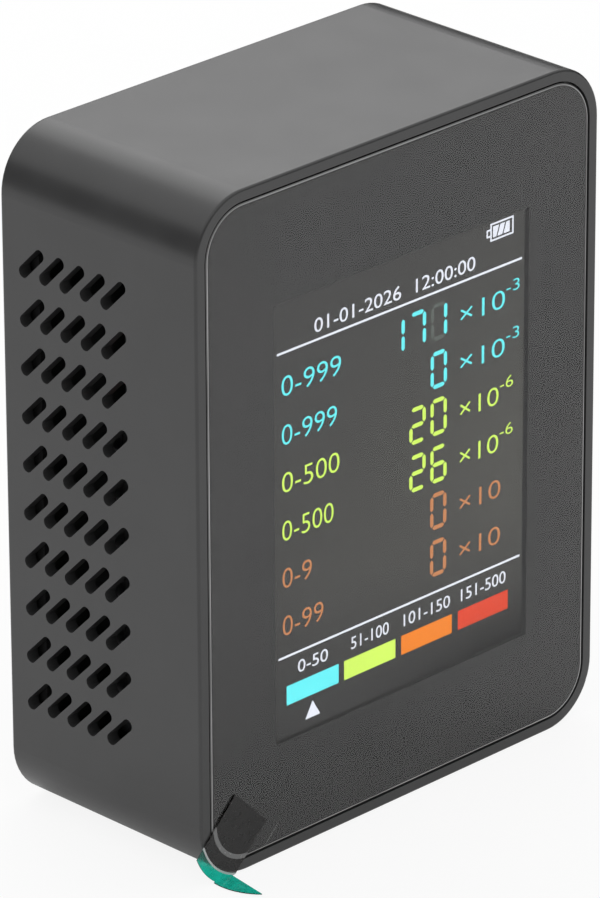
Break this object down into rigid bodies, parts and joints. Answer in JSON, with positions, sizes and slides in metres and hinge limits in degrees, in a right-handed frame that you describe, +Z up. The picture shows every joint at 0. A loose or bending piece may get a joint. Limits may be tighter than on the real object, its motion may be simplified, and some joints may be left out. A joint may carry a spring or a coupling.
{
  "type": "air quality monitor",
  "caption": "Desktop air quality monitor: a deep round-cornered case with a flush display lens, slanted air slots, a side power button and a charging socket.",
  "frame": {"origin": "centre of the flat base, on the surface that the case stands on", "axes": "+Z up, -Y out of the display, +X to the right seen from the front"},
  "size_m": [0.0793, 0.0447, 0.1],
  "materials": {
    "case_black": "fine matt moulded",
    "lens": "polished",
    "film": "clear thin film",
    "pull_tab": "translucent teal film",
    "glue": "black adhesive",
    "picture": "display glass",
    "white_plastic": "moulded",
    "foam": "foam",
    "ribbon": "polyimide",
    "board": "solder mask",
    "chip": "moulded",
    "steel": "plated",
    "brass": "turned",
    "gold": "gold plated",
    "button": "fine matt moulded",
    "battery_skin": "foil",
    "wire_red": "insulation",
    "wire_black": "insulation"
  },
  "bodies": {
    "case": {"housing": "case_black", "rear_cover": "case_black", "cover_screws": "steel", "front_lens": "lens", "lens_adhesive": "glue", "screen_film": "film", "film_pull_tab": "pull_tab", "display_glass": "picture", "display_backlight": "white_plastic", "display_foam": "foam", "display_ribbon": "ribbon", "ribbon_connector": "white_plastic", "main_board": "board", "board_screws": "steel", "board_chips": "chip", "usb_socket": "steel", "usb_tongue": "chip", "power_switch": "chip", "dust_sensor_base": "chip", "dust_sensor_lid": "steel", "dust_sensor_board": "board", "dust_sensor_tape": "white_plastic", "laser_diode": "brass", "fan_frame": "chip", "fan_shaft": "steel", "sensor_header": "white_plastic", "sensor_cable": "wire_red", "co2_sensor": "gold", "co2_filter": "white_plastic", "co_sensor": "steel", "formaldehyde_sensor": "white_plastic", "tvoc_sensor": "steel", "battery": "battery_skin", "battery_tape": "white_plastic", "battery_header": "white_plastic", "battery_plug": "white_plastic", "battery_lead_red": "wire_red", "battery_lead_black": "wire_black"},
    "button": {"power_button": "button", "switch_plunger": "white_plastic"},
    "fan": {"fan_rotor": "chip"}
  },
  "joints": [
    {"name": "button_press", "type": "slide", "parent": "case", "child": "button", "axis": [-1, 0, 0], "range_m": [0, 0.0003], "stiffness_N_per_m": 400},
    {"name": "fan_spin", "type": "hinge", "parent": "case", "child": "fan", "pos_m": [-0.0234, -0.00445, 0.02825], "axis": [0, 1, 0], "continuous": true}
  ]
}
